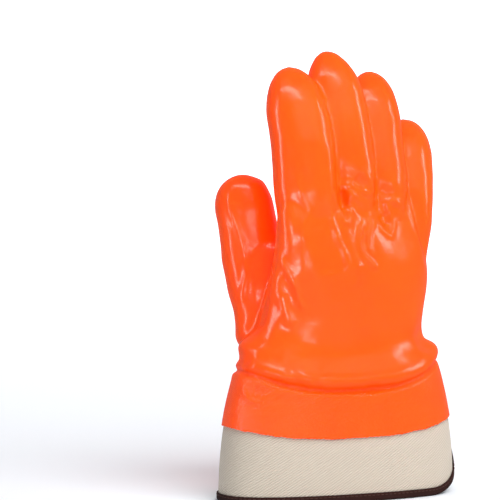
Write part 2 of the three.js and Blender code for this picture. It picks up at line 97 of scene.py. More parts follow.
def pocket_push(x, z, outward_y):
    """The dent at the front of the cuff, under the seam near the thumb."""
    across = np.maximum(np.maximum(POCKET["from"] - x, x - POCKET["to"]), 0)
    distance = np.hypot(across, z - POCKET["height"])
    dent = POCKET["push"] * np.exp(-((distance / POCKET["reach"]) ** 2))
    return facing_share(-outward_y, sharpness=1.6) * dent


def cuff_point(turn, z, out):
    """Points on the cuff at angles, heights and distances out from the cloth's middle layer."""
    turn, z, out = np.broadcast_arrays(*(np.asarray(v, float) for v in (turn, z, out)))
    a, b = cuff_half_sizes(z)
    c, s = np.cos(turn), np.sin(turn)
    x = a * np.sign(c) * np.abs(c) ** (2 / OVAL_POWER)
    y = b * np.sign(s) * np.abs(s) ** (2 / OVAL_POWER)
    nx = np.sign(x) * np.abs(x / a) ** (OVAL_POWER - 1) / a
    ny = np.sign(y) * np.abs(y / b) ** (OVAL_POWER - 1) / b
    size = np.hypot(nx, ny)
    nx, ny = nx / size, ny / size
    out = out + pocket_push(x, z, ny)
    return np.stack([x + nx * out + CUFF_MIDDLE[0], y + ny * out + CUFF_MIDDLE[1], z], -1)


def cuff_turn(x, y, z=DIP_HEIGHT, out=COAT_SKIN):
    """The angle round the cuff of points that lie near it."""
    a, b = cuff_half_sizes(z)
    u, v = (x - CUFF_MIDDLE[0]) / (a + out), (y - CUFF_MIDDLE[1]) / (b + out)
    power = OVAL_POWER / 2
    return np.arctan2(np.sign(v) * np.abs(v) ** power, np.sign(u) * np.abs(u) ** power)


def hanging(side, drop, turn):
    """A height that is lower at the middle of the front and back, and climbs to the slit."""
    climb = drop / SEAM_DROP * SEAM_CLIMB * np.maximum(np.cos(turn), 0) ** 2
    return side - drop * np.sin(turn) ** 2 + climb


# %% [markdown]
# ### Lengths along the rim
# Cloth is measured along its edge. The oval has no short formula for that, so its rim is
# walked in small steps once, and angles are looked up from lengths.

# %% Lengths along the rim
RIM_STEPS = 2880
RIM_TURNS = np.linspace(0, 2 * np.pi, RIM_STEPS + 1)
rim_middle = cuff_point(RIM_TURNS, 0, 0)
RIM_LENGTHS = np.r_[0, np.cumsum(np.linalg.norm(np.diff(rim_middle, axis=0), axis=1))]
RIM_LENGTH = RIM_LENGTHS[-1]


def turn_at(length):
    return np.interp((length + SLIT_OFFSET) % RIM_LENGTH, RIM_LENGTHS, RIM_TURNS)


def length_at(turn):
    return np.interp(turn % (2 * np.pi), RIM_TURNS, RIM_LENGTHS) - SLIT_OFFSET


print("rim length, mm:", round(RIM_LENGTH, 1))


# %% [markdown]
# ## Meshes from grids
# Cloth and tape are grids of points. One small function turns a grid into a mesh with real
# millimetres in its UV map, so that a weave has its true pitch.

# %% Mesh tools
def placed(name, data):
    """A new object in the scene."""
    made = bpy.data.objects.new(name, data)
    bpy.context.scene.collection.objects.link(made)
    return made


def object_from(bm, name):
    """A new object from an edited mesh, which is then let go."""
    mesh = bpy.data.meshes.new(name)
    bm.to_mesh(mesh)
    bm.free()
    return placed(name, mesh)


def grid_object(name, points, across, along, closed=False):
    """A mesh from points[row, column] in mm. across and along, in mm, go into the UV map."""
    rows, columns = points.shape[:2]
    faces = []
    for r in range(rows - 1):
        for c in range(columns if closed else columns - 1):
            d = (c + 1) % columns
            faces.append((r * columns + c, r * columns + d,
                          (r + 1) * columns + d, (r + 1) * columns + c))
    mesh = bpy.data.meshes.new(name)
    mesh.from_pydata((points.reshape(-1, 3) * MM).tolist(), [], faces)
    layer = mesh.uv_layers.new(name="weave")
    flat_across, flat_along = across.ravel(), along.ravel()
    corner = np.zeros(len(mesh.loops), np.int64)
    mesh.loops.foreach_get("vertex_index", corner)
    uv = np.stack([flat_across[corner], flat_along[corner]], -1)
    layer.data.foreach_set("uv", uv.astype(np.float32).ravel())
    return placed(name, mesh)


def shade_smooth(made):
    for polygon in made.data.polygons:
        polygon.use_smooth = True


def outward_normals(made):
    """Turns the normals outward, seen from the middle of the cuff."""
    bm = bmesh.new()
    bm.from_mesh(made.data)
    bmesh.ops.recalc_face_normals(bm, faces=bm.faces)
    total = 0.0
    for face in bm.faces:
        middle = face.calc_center_median()
        flat = Vector((middle.x - CUFF_MIDDLE[0] * MM, middle.y - CUFF_MIDDLE[1] * MM, 0))
        total += face.normal.dot(flat) * face.calc_area()
    if total < 0:
        bmesh.ops.reverse_faces(bm, faces=bm.faces)
    bm.to_mesh(made.data)
    bm.free()


def baked(made):
    """Turns an object's modifiers into plain mesh."""
    graph = bpy.context.evaluated_depsgraph_get()
    mesh = bpy.data.meshes.new_from_object(made.evaluated_get(graph))
    made.modifiers.clear()
    made.data = mesh
    return made


def triangles(made):
    made.data.calc_loop_triangles()
    return len(made.data.loop_triangles)


def vertex_places(mesh):
    """The mesh's points in mm."""
    values = np.zeros(len(mesh.vertices) * 3, np.float32)
    mesh.vertices.foreach_get("co", values)
    return values.reshape(-1, 3).astype(float) / MM


def vertex_normals(mesh):
    values = np.zeros(len(mesh.vertices) * 3, np.float32)
    mesh.vertex_normals.foreach_get("vector", values)
    return values.reshape(-1, 3).astype(float)


# %% [markdown]
# ## Canvas cuff
# The cuff is two or three plies of stiff canvas, sewn as one band. A cloth simulation would
# droop it, and the real one holds its form, so it is laid on the formula. It has two big
# rounded corners at the slit.

# %% Canvas
CORNER_STEPS, FRONT_STEPS, CANVAS_ROWS = 28, 180, 36
CANVAS_BELOW_SEAM = 3.0


def edge_places(inset, corner_steps, front_steps, straight_top=None, straight_steps=0):
    """The cuff's edge from one side of the slit round to the other, set in by a distance.
    Rows of length along the rim, height, and the way into the cloth along and up."""
    half = SLIT_GAP / 2
    inner = CORNER_RADIUS - inset
    places = []
    if straight_top is not None:
        for z in np.linspace(straight_top, CORNER_RADIUS, straight_steps, endpoint=False):
            places.append((half + inset, z, 1.0, 0.0))
    for bend in np.linspace(0, np.pi / 2, corner_steps):
        places.append((half + CORNER_RADIUS - inner * math.cos(bend),
                       CORNER_RADIUS - inner * math.sin(bend),
                       math.cos(bend), math.sin(bend)))
    first = np.array(places)
    lengths = np.linspace(half + CORNER_RADIUS, RIM_LENGTH - half - CORNER_RADIUS,
                          front_steps + 1)[1:-1]
    front = np.stack([lengths, np.full_like(lengths, inset),
                      np.zeros_like(lengths), np.ones_like(lengths)], -1)
    last = first[::-1].copy()
    last[:, 0] = RIM_LENGTH - last[:, 0]
    last[:, 2] *= -1
    return np.concatenate([first, front, last])


edge = edge_places(TAPE_THICKNESS + CLEARANCE, CORNER_STEPS, FRONT_STEPS)
edge_turn = turn_at(edge[:, 0])
canvas_top = hanging(SEAM_HEIGHT - CANVAS_BELOW_SEAM, SEAM_DROP, edge_turn) - CLEARANCE
share = np.linspace(0, 1, CANVAS_ROWS)[:, None]
heights = edge[:, 1] + (canvas_top - edge[:, 1]) * share
canvas = grid_object(
    "canvas_cuff",
    cuff_point(edge_turn[None, :], heights, 0.0),
    np.broadcast_to(edge[:, 0], heights.shape),
    heights,
)
outward_normals(canvas)
shade_smooth(canvas)
solid = canvas.modifiers.new("thickness", "SOLIDIFY")
solid.thickness = CANVAS_THICKNESS * MM
solid.offset = 0
baked(canvas)
print("canvas:", triangles(canvas), "triangles")


# %% [markdown]
# ## Binding tape
# Dark tape is folded over the edge. Its section is a U, swept along the same edge path, with
# a soft fold instead of a hard corner. The section's own length is the second UV direction,
# so that the tape's fine ribs run along it.

# %% Tape
TAPE_CORNER_STEPS, TAPE_FRONT_STEPS, TAPE_STRAIGHT_STEPS = 46, 230, 14
TAPE_FOLD, FOLD_STEPS, TAPE_ROUNDING = 1.5, 9, 0.25
# Points between the tape's inner edge and its fold, which let its face follow the cuff.
FACE_PLACES = [3.6, 2.4]


def tape_section():
    """The tape's closed section: how far into the cloth, and how far out from its middle."""
    inner = TAPE_SKIN - TAPE_THICKNESS
    outline = [(TAPE_WIDTH, TAPE_SKIN - TAPE_ROUNDING), (TAPE_WIDTH - TAPE_ROUNDING, TAPE_SKIN)]
    outline += [(into, TAPE_SKIN) for into in FACE_PLACES]
    for bend in np.linspace(np.pi / 2, -np.pi / 2, FOLD_STEPS):
        outline.append((TAPE_FOLD * (1 - math.cos(bend)), TAPE_SKIN * math.sin(bend)))
    outline += [(into, -TAPE_SKIN) for into in reversed(FACE_PLACES)]
    outline += [(TAPE_WIDTH - TAPE_ROUNDING, -TAPE_SKIN), (TAPE_WIDTH, TAPE_ROUNDING - TAPE_SKIN),
                (TAPE_WIDTH, -inner), (TAPE_FOLD, -inner), (TAPE_FOLD, inner), (TAPE_WIDTH, inner)]
    return np.array(outline)


section = tape_section()
path = edge_places(0.0, TAPE_CORNER_STEPS, TAPE_FRONT_STEPS, SLIT_TOP, TAPE_STRAIGHT_STEPS)
into, out = section[:, 0][None, :], section[:, 1][None, :]
tape_turn = turn_at(path[:, 0:1] + path[:, 2:3] * into)
tape_points = cuff_point(tape_turn, path[:, 1:2] + path[:, 3:4] * into, out)
fold_line = tape_points[:, 2 + len(FACE_PLACES)]
run = np.r_[0, np.cumsum(np.linalg.norm(np.diff(fold_line, axis=0), axis=1))]
round_section = np.r_[0, np.cumsum(np.linalg.norm(np.diff(section, axis=0), axis=1))]
tape = grid_object(
    "binding_tape",
    tape_points,
    np.broadcast_to(run[:, None], tape_points.shape[:2]),
    np.broadcast_to(round_section[None, :], tape_points.shape[:2]),
    closed=True,
)
bm = bmesh.new()
bm.from_mesh(tape.data)
bmesh.ops.holes_fill(bm, edges=[e for e in bm.edges if e.is_boundary], sides=0)
bmesh.ops.recalc_face_normals(bm, faces=bm.faces)
bm.to_mesh(tape.data)
bm.free()
shade_smooth(tape)
print("tape:", triangles(tape), "triangles, run", round(run[-1]), "mm")


# %% [markdown]
# ## The dipped coat
# The dip is one skin without a seam. It could be sculpted, but the CAD coat already has its
# true form in flat facets. Its outer skin is taken, closed below, remeshed in small squares and
# relaxed, which rounds the webs between the fingers as thick PVC does. First the CAD coat's
# outside and inside are taken apart, along the sharp edges of its open end.

# %% Outside and inside of the CAD coat
SHARP = math.radians(75)
WELD = 0.01


def split_skin(node):
    """The coat's outer skin, reached from the top without crossing a sharp outer edge, and
    the rest, which is its inside."""
    halves = []
    for wanted in (True, False):
        bm = bmesh.new()
        bm.from_mesh(node.data)
        bmesh.ops.remove_doubles(bm, verts=bm.verts, dist=WELD * MM)
        start = max(bm.faces, key=lambda face: face.calc_center_median().z)
        seen, queue = {start}, [start]
        while queue:
            face = queue.pop()
            for edge in face.edges:
                for other in edge.link_faces:
                    if other not in seen and edge.calc_face_angle_signed(0) < SHARP:
                        seen.add(other)
                        queue.append(other)
        gone = [face for face in bm.faces if (face in seen) != wanted]
        bmesh.ops.delete(bm, geom=gone, context="FACES")
        halves.append(bm)
    return halves


outside, inside = split_skin(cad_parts["pvc_coat"])
print("faces outside:", len(outside.faces), "and inside:", len(inside.faces))


# %% [markdown]
# ### Room between the fingers
# The fingers press on each other, and the remesh can't see gaps finer than its squares. The
# gaps are opened by moves of the points, so that each finger keeps an edge of its own.

# %% Parting the fingers
WEB_HEIGHT, FINGER_GAP = 181.0, 2.0
DIVIDED_BELOW_WEB, PARTED_ABOVE_WEB = 12.0, 1.0
RAY_START = 0.03


def wider_gaps(bm):
    """Moves the walls beside each fine gap back, until the gap is as wide as it has to be."""
    lowest = (WEB_HEIGHT - DIVIDED_BELOW_WEB) * MM
    tall = [e for e in bm.edges if min(v.co.z for v in e.verts) > lowest]
    bmesh.ops.subdivide_edges(bm, edges=tall, cuts=3, use_grid_fill=True)
    bmesh.ops.triangulate(bm, faces=bm.faces[:])
    bm.normal_update()
    tree = BVHTree.FromBMesh(bm)
    moves = []
    for vert in bm.verts:
        if vert.co.z < (WEB_HEIGHT + PARTED_ABOVE_WEB) * MM:
            continue
        start = vert.co + vert.normal * RAY_START * MM
        away = tree.ray_cast(start, vert.normal, FINGER_GAP * MM)[3]
        if away is not None:
            moves.append((vert, vert.normal * (away - FINGER_GAP * MM) / 2))
    for vert, move in moves:
        vert.co += move
    print("points moved to open the gaps:", len(moves))


wider_gaps(outside)


# %% [markdown]
# ### One closed, even mesh
# A voxel remesh needs a closed form. The skin's lower edge is drawn down along the cuff, past
# the dip line, and closed with a floor that is cut away again later.

# %% Remesh
LOW_RING = 22.0
VOXEL = 1.15


def closed_below(bm):
    """Draws the lower edge down along the cuff's flare and closes it with a floor."""
    rim = [edge for edge in bm.edges if edge.is_boundary]
    grown = bmesh.ops.extrude_edge_only(bm, edges=rim)["geom"]
    for vert in (item for item in grown if isinstance(item, bmesh.types.BMVert)):
        x, y, z = vert.co / MM
        vert.co = Vector(cuff_point(cuff_turn(x, y, z), LOW_RING, COAT_SKIN)) * MM
    bmesh.ops.holes_fill(bm, edges=[e for e in bm.edges if e.is_boundary], sides=0)


closed_below(outside)
coat = object_from(outside, "dipped_coat")
remesh = coat.modifiers.new("remesh", "REMESH")
remesh.mode = "VOXEL"
remesh.voxel_size = VOXEL * MM
remesh.use_smooth_shade = True
baked(coat)
print("coat after the remesh:", len(coat.data.vertices), "points")


# %% [markdown]
# ### The coat's inside
# Inside, one sees the knitted backing that the dip has soaked. The CAD coat's inner faces serve
# as they are, without thickness. They are set a little further in, because the folds of the
# outer skin are pressed in deeper than the CAD coat's wall leaves room for.

# %% Backing
BACKING_FROM, BACKING_SET_IN = 64.0, 0.8

below = [f for f in inside.faces if f.calc_center_median().z < BACKING_FROM * MM]
bmesh.ops.delete(inside, geom=below, context="FACES")
inside.normal_update()
for vert in inside.verts:
    vert.co += vert.normal * BACKING_SET_IN * MM
backing = object_from(inside, "backing_inside")
shade_smooth(backing)
print("backing:", triangles(backing), "triangles")


# %% [markdown]
# ### Folds of the back
# On the real glove the folds set as the PVC gels and the glove is pulled off its mould. A
# simulation would put them elsewhere, so they are lines drawn on the photo's view, and pressed
# in along that view. The view was measured before the camera was fitted, and lies 1.4 degrees
# beside it.

# %% View and folds of the back
TRACED_AZIMUTH, TRACED_RISE = -24.0, 4.5


def way_back(azimuth, rise):
    """The way from the glove to a viewer, from degrees round and up."""
    a, e = math.radians(azimuth), math.radians(rise)
    return np.array([math.sin(a) * math.cos(e), -math.cos(a) * math.cos(e), math.sin(e)])


def way_right(azimuth):
    return np.array([math.cos(math.radians(azimuth)), math.sin(math.radians(azimuth)), 0])


VIEW_RIGHT = way_right(TRACED_AZIMUTH)
VIEW_BACK = way_back(TRACED_AZIMUTH, TRACED_RISE)
VIEW_UP = np.cross(VIEW_BACK, VIEW_RIGHT)

# Each line is in mm to the right of the glove's middle and up, square to that view. A positive
# depth is a valley, a negative one a ridge, and width is its reach. A step lifts the surface to
# the right-hand side of the line, as it is drawn, and lowers it on the other.
BACK_CREASES = [
    # The hairpin fold at the foot of the middle finger, and the one that hangs from it.
    {"line": [(5.5, 188.5), (11.5, 189.5), (16.5, 187), (22.5, 183.5), (24.5, 185.5),
              (24, 189.5), (19.5, 197.5)],
     "depth": -1.3, "width": 1.5},
    {"line": [(14.5, 192.5), (20, 188.5)], "depth": 2.0, "width": 4.0},
    {"line": [(5.5, 186.5), (10, 186), (12.5, 183), (16, 181), (19.5, 176)],
     "depth": -0.8, "width": 1.5},
    {"line": [(12.5, 183), (10.5, 179), (11.5, 173), (11, 165.5), (8.5, 166.5), (6, 170)],
     "depth": -1.1, "width": 1.5},
    # The pocket beside the index finger's edge.
    {"line": [(6, 185.5), (6.5, 180), (8, 174.5)], "depth": 2.1, "width": 2.3},
    # The twisted double fold between the knuckles.
    {"line": [(19.5, 166.5), (17, 159), (17, 153), (19, 146.5), (25, 140), (27.5, 138.5)],
     "depth": -1.3, "width": 1.5},
    {"line": [(24.5, 170.5), (24.5, 165), (22.5, 157.5), (22.5, 151), (24.5, 147.5)],
     "depth": -1.0, "width": 1.5},
    {"line": [(21.5, 163), (20, 152)], "depth": 0.7, "width": 1.5},
    {"line": [(16, 141.5), (16, 133), (13.5, 127)], "depth": -0.7, "width": 2.4},
    # The looped fold at the foot of the ring finger.
    {"line": [(29, 167), (30.5, 162), (36, 157.5), (38, 165), (36, 171), (33.5, 176.5),
              (33, 178.5), (37, 180.5), (40.5, 178.5), (46.5, 173)],
     "depth": -1.2, "width": 1.5},
    {"line": [(32, 172.5), (34.5, 165)], "depth": 1.8, "width": 3.2},
    {"line": [(30, 187.5), (36, 182.5)], "depth": 1.2, "width": 3.4},
    # Where each finger's edge runs on over its neighbour.
    {"line": [(4.5, 199), (4.5, 187.5), (5.5, 176.5), (8, 167.5)],
     "step": 1.0, "width": 0.8, "reach": 4.0},
    {"line": [(26.5, 202), (28, 186.5), (28, 176.5)], "step": 0.8, "width": 0.8, "reach": 4.0},
    {"line": [(46.5, 186.5), (51.5, 167), (59.5, 134.5)], "step": 1.3, "width": 0.9, "reach": 6.0},
    # The index finger's long edge, and the diamond-shaped dent over its knuckle.
    {"line": [(-1, 211), (-1, 186.5), (-2, 178), (-1, 173), (0.5, 166.5), (4.5, 154.5), (9, 145),
              (10, 141), (8.5, 136)],
     "depth": -1.0, "width": 1.6},
    {"line": [(-21, 192.5), (-17, 180.5), (-13, 172.5), (-16, 164), (-17, 159.5), (-15.5, 148.5)],
     "depth": -0.7, "width": 2.4},
    {"line": [(-9, 163), (-2, 148.5), (-0.5, 134.5)], "depth": 1.4, "width": 6.5},
    # The fold that runs down from the thumb's web, and the streak inside it.
    {"line": [(-30.5, 146), (-28, 140.5), (-24.5, 133), (-21, 127), (-18.5, 118), (-16, 113)],
     "depth": -0.9, "width": 1.8},
    {"line": [(-30.5, 123.5), (-28, 114), (-23.5, 103.5)], "depth": -0.9, "width": 3.2},
    {"line": [(-28, 134.5), (-23.5, 119)], "depth": 0.6, "width": 3.0},
    # The hand's edge in front of the thumb, and the thumb's long ridge.
    {"line": [(-57.5, 87.5), (-51.5, 93.5), (-46.5, 99), (-40.5, 103.5), (-38.5, 111.5),
              (-37, 123.5), (-35.5, 132.5), (-33.5, 141.5), (-32.5, 151)],
     "step": 1.2, "width": 0.9, "reach": 6.0},
    {"line": [(-63, 184.5), (-62, 175.5), (-56, 160), (-52, 145.5), (-52, 133), (-54.5, 119)],
     "depth": -0.8, "width": 2.0},
    # The nick at the wrist on the little finger's side, and two folds at the roll's other end.
    {"line": [(56.5, 103.5), (54, 97.5), (56.5, 91.5), (62, 88.5)], "depth": 1.0, "width": 2.4},
    {"line": [(-48.5, 83), (-54.5, 80), (-58.5, 76.5)], "depth": 0.9, "width": 1.6},
    {"line": [(-25, 78.5), (-18, 67.5)], "depth": 0.7, "width": 2.6},
    {"line": [(-3.5, 78.5), (-9, 66.5)], "depth": 0.6, "width": 2.6},
    # The pocket-like dent on the cuff, and a shallow one beside it.
    {"line": [(-53.5, 68), (-49.5, 59), (-42.5, 57), (-33, 62), (-26.5, 64)],
     "depth": -1.1, "width": 2.0},
    {"line": [(-47, 65), (-40, 64)], "depth": 0.8, "width": 3.6},
    {"line": [(22.5, 64.5), (30.5, 67.5)], "depth": 0.8, "width": 3.6},
]
print("folds of the back:", len(BACK_CREASES))


# %% [markdown]
# ### Folds of the palm
# The photo doesn't show the palm, so its folds are few and plain. They are drawn the same way,
# but seen from straight behind, with the thumb to the right.

# %% Folds of the palm
PALM_RIGHT, PALM_UP = np.array([-1.0, 0, 0]), np.array([0, 0, 1.0])
PALM_BACK = np.array([0, 1.0, 0])
PALM_CREASES = [
    {"line": [(-58, 168), (-40, 163), (-22, 166)], "depth": 1.0, "width": 2.6},
    {"line": [(-16, 172), (0, 168), (14, 172)], "depth": 1.0, "width": 2.6},
    {"line": [(18, 178), (30, 172), (38, 176)], "depth": 1.0, "width": 2.4},
    {"line": [(-52, 142), (-20, 132), (8, 138), (24, 150)], "depth": 1.2, "width": 4.0},
    {"line": [(20, 158), (8, 132), (4, 108)], "depth": 1.2, "width": 4.0},
    {"line": [(40, 122), (44, 110), (52, 102)], "depth": 0.9, "width": 2.6},
    {"line": [(-50, 98), (-44, 90)], "depth": 0.9, "width": 2.6},
]
print("folds of the palm:", len(PALM_CREASES))


# %% [markdown]
# ### How a fold is pressed
# A point moves along its own normal, by its distance from the fold's line, where the surface
# faces the viewer. So a fold fades out towards the glove's edge instead of cutting through.

# %% Pressing along lines
def distance_to_line(spots, line):
    """Distance of 2-D spots from a line through points, less than nothing on its left-hand
    side, and the share of the way along it."""
    best = np.full(len(spots), 1e9)
    along, side = np.zeros(len(spots)), np.ones(len(spots))
    line = np.array(line, float)
    for i, (a, b) in enumerate(zip(line[:-1], line[1:])):
        step = b - a
        t = np.clip(((spots - a) @ step) / (step @ step), 0, 1)
        offset = spots - a - t[:, None] * step
        distance = np.linalg.norm(offset, axis=1)
        nearer = distance < best
        best[nearer] = distance[nearer]
        along[nearer] = (i + t[nearer]) / (len(line) - 1)
        turned = step[0] * (spots[:, 1] - a[1]) - step[1] * (spots[:, 0] - a[0])
        side[nearer] = np.where(turned[nearer] > 0, -1.0, 1.0)
    return best * side, along


FADE_RATE, FADE_LEAST = 6, 0.3
SHOULDER = {"at": 2.2, "width": 1.1, "height": 0.3}


def crease_push(points, normals, right, up, facing_way, creases):
    """How far each point moves out, for creases drawn in a plane and pressed in along a view."""
    spots = np.stack([points @ right, points @ up], -1)
    facing = facing_share(normals @ facing_way, sharpness=1.8)
    push = np.zeros(len(points))
    for crease in creases:
        signed, along = distance_to_line(spots, crease["line"])
        weight = facing * np.clip(np.minimum(along, 1 - along) * FADE_RATE + FADE_LEAST, 0, 1)
        if "step" in crease:
            reach = np.exp(-((signed / crease["reach"]) ** 2))
            push += weight * crease["step"] * np.tanh(signed / crease["width"]) * reach
            continue
        near = np.abs(signed) / crease["width"]
        form = np.exp(-(near ** 2))
        if crease["depth"] > 0:
            beside = (near - SHOULDER["at"]) / SHOULDER["width"]
            form -= SHOULDER["height"] * np.exp(-(beside ** 2))
        push -= weight * crease["depth"] * form
    return push


# %% [markdown]
# ### Fuller places and uneven skin
# The relaxed skin is a little too lean beside the wrist, and too even. Broad soft pushes fill
# it, and slow waves take the machine-made look off the reflections.

# %% Fuller places, waves and the roll
# Spots are in mm across and up in the same view as the folds, with the reach each way, and
# only the skin that faces right, 1, or left, -1, is moved.
FULLER = [
    {"spot": (-57, 95), "reach": (10, 9), "out": 3.2, "facing": -1},
    {"spot": (-58, 84), "reach": (9, 4), "out": -3.2, "facing": -1},
    {"spot": (-58, 76), "reach": (7, 3), "out": 1.0, "facing": -1},
    {"spot": (-41, 194), "reach": (6, 5), "out": 1.4, "facing": 1},
]
GROOVE = {"below": 0.5, "width": 1.7, "depth": 1.9}
ROLL = {"above": 5.5, "width": 4.0, "side": 0.5, "front": 1.0}
WAVES = [
    {"size": 26.0, "seed": 1, "hand": 0.7, "skirt": 0.2},
    {"size": 11.0, "seed": 2, "hand": 0.25, "skirt": 0.1},
]


def fuller_push(points, normals):
    across, up = points @ VIEW_RIGHT, points @ VIEW_UP
    push = np.zeros(len(points))
    for place in FULLER:
        near = ((across - place["spot"][0]) / place["reach"][0]) ** 2
        near += ((up - place["spot"][1]) / place["reach"][1]) ** 2
        facing = facing_share(normals @ VIEW_RIGHT * place["facing"], sharpness=1.5)
        push += place["out"] * facing * np.exp(-near)
    return push


def swell(points, scale, seed):
    """Slow uneven waves between -1 and 1."""
    shift = Vector((seed * 17.3, seed * 5.1, seed * 9.7))
    return np.array([noise.noise(Vector(p) / scale + shift) for p in points])


def roll_push(points, turn):
    """The groove at the wrist seam, and the puffy roll that hangs over it."""
    above = points[:, 2] - hanging(SEAM_HEIGHT, SEAM_DROP, turn)
    groove = np.exp(-(((above + GROOVE["below"]) / GROOVE["width"]) ** 2))
    roll = np.exp(-(((above - ROLL["above"]) / ROLL["width"]) ** 2))
    fullness = ROLL["side"] + (ROLL["front"] - ROLL["side"]) * np.sin(turn) ** 2
    return fullness * roll - GROOVE["depth"] * groove


# %% [markdown]
# ### Relaxing and pressing
# Relaxing first melts the flat facets away. It is held back near the wrist's roll, which it
# would flatten. Then the skirt is laid exactly on the cuff, and all pushes are added up.

# %% Relaxing and pressing
RELAX_ROUNDS, RELAX_STRENGTH, RELAX_LOSS = 16, 0.5, 0.22
HELD_BACK = {"height": 74.0, "reach": 14.0, "share": 0.75}
LAID_BELOW_SEAM, LAID_OVER = 1.5, 3.0
NOT_LAID_BELOW = LOW_RING + 2.0
SETTLE_ROUNDS, SETTLE_STRENGTH = 2, 0.3


def mesh_edges(mesh):
    pairs = np.zeros(len(mesh.edges) * 2, np.int64)
    mesh.edges.foreach_get("vertices", pairs)
    return pairs.reshape(-1, 2)


def relaxed(points, pairs, rounds, strength):
    """Moves each point towards the middle of its neighbours, a few times over."""
    count = np.bincount(pairs.ravel(), minlength=len(points))[:, None]
    for _ in range(rounds):
        total = np.zeros_like(points)
        np.add.at(total, pairs[:, 0], points[pairs[:, 1]])
        np.add.at(total, pairs[:, 1], points[pairs[:, 0]])
        points = points + strength * (total / np.maximum(count, 1) - points)
    return points


def set_points(mesh, points):
    mesh.vertices.foreach_set("co", (points * MM).astype(np.float32).ravel())
    mesh.update()


points = vertex_places(coat.data)
pairs = mesh_edges(coat.data)
near_roll = np.exp(-(((points[:, 2] - HELD_BACK["height"]) / HELD_BACK["reach"]) ** 2))[:, None]
strength = RELAX_STRENGTH * (1 - HELD_BACK["share"] * near_roll)
points = relaxed(points, pairs, RELAX_ROUNDS, strength)

turn = cuff_turn(points[:, 0], points[:, 1], points[:, 2])
seam = hanging(SEAM_HEIGHT, SEAM_DROP, turn)
laid = np.clip((seam - points[:, 2] - LAID_BELOW_SEAM) / LAID_OVER, 0, 1)
laid *= points[:, 2] > NOT_LAID_BELOW
points += laid[:, None] * (cuff_point(turn, points[:, 2], COAT_SKIN) - points)
set_points(coat.data, points)

normals = vertex_normals(coat.data)
push = RELAX_LOSS * (1 - laid) + roll_push(points, turn) + fuller_push(points, normals)
push += crease_push(points, normals, VIEW_RIGHT, VIEW_UP, VIEW_BACK, BACK_CREASES)
push += crease_push(points, normals, PALM_RIGHT, PALM_UP, PALM_BACK, PALM_CREASES)
for wave in WAVES:
    height = wave["hand"] + (wave["skirt"] - wave["hand"]) * laid
    push += height * swell(points, wave["size"], wave["seed"])
points += normals * push[:, None]
points = relaxed(points, pairs, SETTLE_ROUNDS, SETTLE_STRENGTH)
set_points(coat.data, points)
print("pushed by", round(push.min(), 2), "to", round(push.max(), 2), "mm")


# %% [markdown]
# ### The slit in the skirt
# The skirt is open where the cuff's slit is, with room for the tape. The mesh is cut along the
# notch's three sides, so that its edge is straight, and the faces between them are deleted.

# %% Cutting the notch
NOTCH_HALF = SLIT_GAP / 2 + TAPE_WIDTH + CLEARANCE
NOTCH_TOP = SLIT_TOP + CLEARANCE
SLIT_SIDE, NOTCH_ROOM = 50.0, 70.0
notch_y = cuff_point(turn_at(0.0), DIP_HEIGHT, 0)[1]

bm = bmesh.new()
bm.from_mesh(coat.data)
for spot, way in (((0, notch_y + NOTCH_HALF, 0), (0, 1, 0)),
                  ((0, notch_y - NOTCH_HALF, 0), (0, 1, 0)),
                  ((0, 0, NOTCH_TOP), (0, 0, 1))):
    near = [f for f in bm.faces if f.calc_center_median().x > SLIT_SIDE * MM
            and f.calc_center_median().z < NOTCH_ROOM * MM]
    geometry = near + list({e for f in near for e in f.edges} | {v for f in near for v in f.verts})
    bmesh.ops.bisect_plane(bm, geom=geometry, plane_co=Vector(spot) * MM, plane_no=way,
                           dist=WELD * MM)
gone = []
for face in bm.faces:
    middle = face.calc_center_median() / MM
    if middle.x > SLIT_SIDE and abs(middle.y - notch_y) < NOTCH_HALF and middle.z < NOTCH_TOP:
        gone.append(face)
bmesh.ops.delete(bm, geom=gone, context="FACES")
print("faces cut out for the slit:", len(gone))


# %% [markdown]
# ### The dip line
# The dip ends in a line that hangs a little at the front, and it is slightly ragged, as liquid
# PVC soaks into the weave. The mesh is levelled along that line, cut flat and let back. Then a
# narrow rim is drawn in to the cloth, which gives the skirt its thickness.

# %% Cutting along the dip line
LEVELLED_BELOW, FINE_WELD = 60.0, 0.005
RAGGED = [
    {"period": 7.0, "height": 0.5, "place": (0.3, 2.0)},
    {"period": 1.9, "height": 0.35, "place": (4.1, 1.0)},
]


def dip_line(x, y):
    turn = cuff_turn(x, y)
    length = length_at(turn)
    ragged = sum(noise.noise(Vector((length / row["period"], *row["place"]))) * row["height"]
                 for row in RAGGED)
    return float(hanging(DIP_HEIGHT, DIP_DROP, turn)) + ragged


levels = {}
for vert in bm.verts:
    low = vert.co.z < LEVELLED_BELOW * MM
    levels[vert] = (dip_line(vert.co.x / MM, vert.co.y / MM) if low else DIP_HEIGHT) * MM
    vert.co.z -= levels[vert]
bmesh.ops.bisect_plane(bm, geom=bm.faces[:] + bm.edges[:] + bm.verts[:], plane_co=(0, 0, 0),
                       plane_no=(0, 0, 1), clear_inner=True, dist=FINE_WELD * MM)
for vert in bm.verts:
    level = levels.get(vert)
    if level is None:
        level = dip_line(vert.co.x / MM, vert.co.y / MM) * MM
    vert.co.z += level
rim = [edge for edge in bm.edges if edge.is_boundary]
grown = bmesh.ops.extrude_edge_only(bm, edges=rim)["geom"]
for vert in (item for item in grown if isinstance(item, bmesh.types.BMVert)):
    x, y, z = vert.co / MM
    vert.co = Vector(cuff_point(cuff_turn(x, y, z), z, COAT_SKIN - SKIRT_WALL)) * MM
bmesh.ops.recalc_face_normals(bm, faces=bm.faces)
bm.to_mesh(coat.data)
bm.free()
shade_smooth(coat)
print("coat:", triangles(coat), "triangles")


# %% [markdown]
# ### What the finish needs to know
# The coat is glossy on the hand and pebbled on the cuff, so each point keeps a value that says
# whether it is on the skirt, and its place on the cuff's cloth for the weave below.

